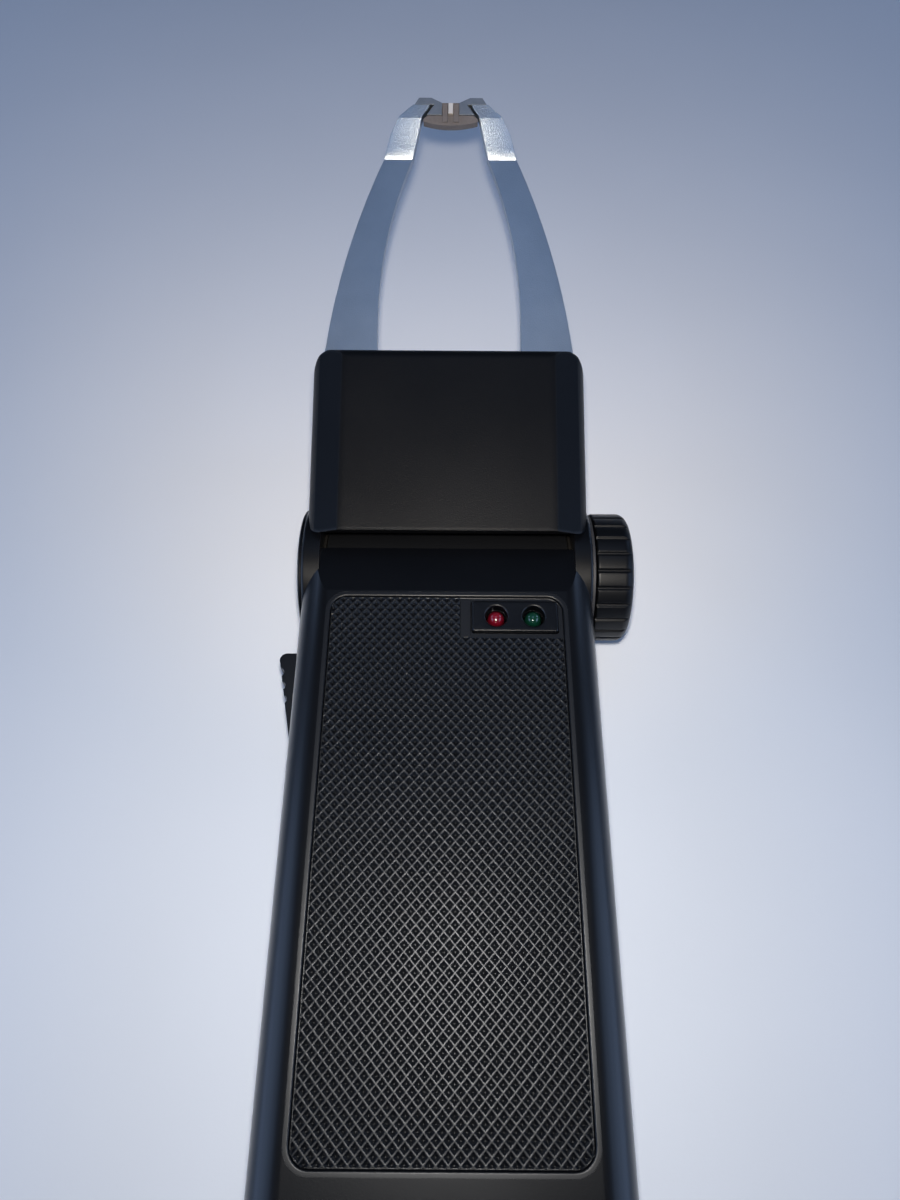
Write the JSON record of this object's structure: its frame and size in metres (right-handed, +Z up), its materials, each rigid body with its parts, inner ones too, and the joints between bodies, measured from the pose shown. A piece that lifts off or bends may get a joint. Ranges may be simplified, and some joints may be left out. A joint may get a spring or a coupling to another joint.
{
  "type": "tape head demagnetizer",
  "caption": "Hand-held battery demagnetizer for tape heads: gripped handle with press lever and lamps, clamp hinge with ribbed knob, coil head and bent pole arms that meet at a tip.",
  "frame": {"origin": "middle of the handle's flat back, which it rests on, halfway between the rear end and the hinge axis", "axes": "+Z up from the flat back to the grip face, +Y along the handle towards the pole tip, +X to the clamp knob; X = 0 is the middle plane"},
  "size_m": [0.059, 0.2117, 0.052],
  "materials": {
    "black_plastic": "fine satin texture, slightly blue black",
    "grip_plastic": "matt, diamond grip",
    "knob_plastic": "matt, ribbed rim",
    "red_lens": "clear tinted resin",
    "green_lens": "clear tinted resin",
    "board": "paper laminate",
    "zinc_steel": "zinc plated",
    "can_sleeve": "shrink sleeve over an aluminium can",
    "ferrite": "sintered ferrite drum with winding",
    "black_epoxy": "moulded epoxy",
    "red_plastic": "moulded",
    "cell_sleeve": "plain sleeve",
    "brown_fibre": "pressed fibre",
    "brass": "turned",
    "soft_iron": "dark oxide",
    "bobbin_plastic": "moulded",
    "enamelled_copper": "varnished winding",
    "satin_steel": "satin nickel plate, bright scuffed ends",
    "brown_resin": "moulded, brown grey",
    "bright_shim": "bare metal"
  },
  "bodies": {
    "handle": {"handle_bottom_shell": "black_plastic", "handle_top_shell": "black_plastic", "grip_panel": "grip_plastic", "lamp_bezel": "black_plastic", "red_lamp": "red_lens", "green_lamp": "green_lens", "circuit_board": "board", "board_screws": "zinc_steel", "charge_capacitor": "can_sleeve", "converter_coil": "ferrite", "switching_transistor": "black_epoxy", "switch_body": "black_epoxy", "trigger_pin": "zinc_steel", "trigger_spring": "zinc_steel", "battery_cells": "cell_sleeve", "battery_contacts": "zinc_steel", "battery_springs": "zinc_steel", "shell_screws": "zinc_steel", "hinge_bolt": "zinc_steel", "pivot_cap": "black_plastic", "friction_washers": "brown_fibre", "spring_washer": "zinc_steel"},
    "head": {"head_top_shell": "black_plastic", "head_bottom_shell": "black_plastic", "core_yoke": "soft_iron", "coil_bobbin": "bobbin_plastic", "coil_winding": "enamelled_copper", "pole_arm_left": "satin_steel", "pole_arm_right": "satin_steel", "arm_screws": "zinc_steel", "head_screws": "zinc_steel", "tip_holder": "brown_resin", "pole_shoe_left": "soft_iron", "pole_shoe_right": "soft_iron", "gap_shim": "bright_shim"},
    "knob": {"clamp_knob": "knob_plastic", "knob_insert": "brass"},
    "trigger": {"trigger_lever": "grip_plastic"},
    "plunger": {"switch_plunger": "red_plastic"},
    "door": {"battery_door": "black_plastic"}
  },
  "joints": [
    {"name": "head_tilt", "type": "hinge", "parent": "handle", "child": "head", "pos_m": [0, 0.065, 0.0165], "axis": [1, 0, 0], "range_deg": [-62, 20]},
    {"name": "knob_turn", "type": "hinge", "parent": "handle", "child": "knob", "pos_m": [0.028, 0.065, 0.0165], "axis": [1, 0, 0], "range_deg": [0, 270]},
    {"name": "trigger_press", "type": "hinge", "parent": "handle", "child": "trigger", "pos_m": [-0.0203, 0.028, 0.013], "axis": [0, 0, -1], "range_deg": [0, 8], "stiffness_Nm_per_rad": 0.25, "springref_deg": -4.58, "deforming": ["trigger_spring"]},
    {"name": "plunger_slide", "type": "slide", "parent": "handle", "child": "plunger", "axis": [1, 0, 0], "range_m": [0, 0.0012]},
    {"name": "battery_door_slide", "type": "slide", "parent": "handle", "child": "door", "axis": [0, -1, 0], "range_m": [0, 0.055]}
  ],
  "couplings": [
    {"joint": "plunger_slide", "follows": "trigger_press", "m_per_rad": 0.0085}
  ]
}
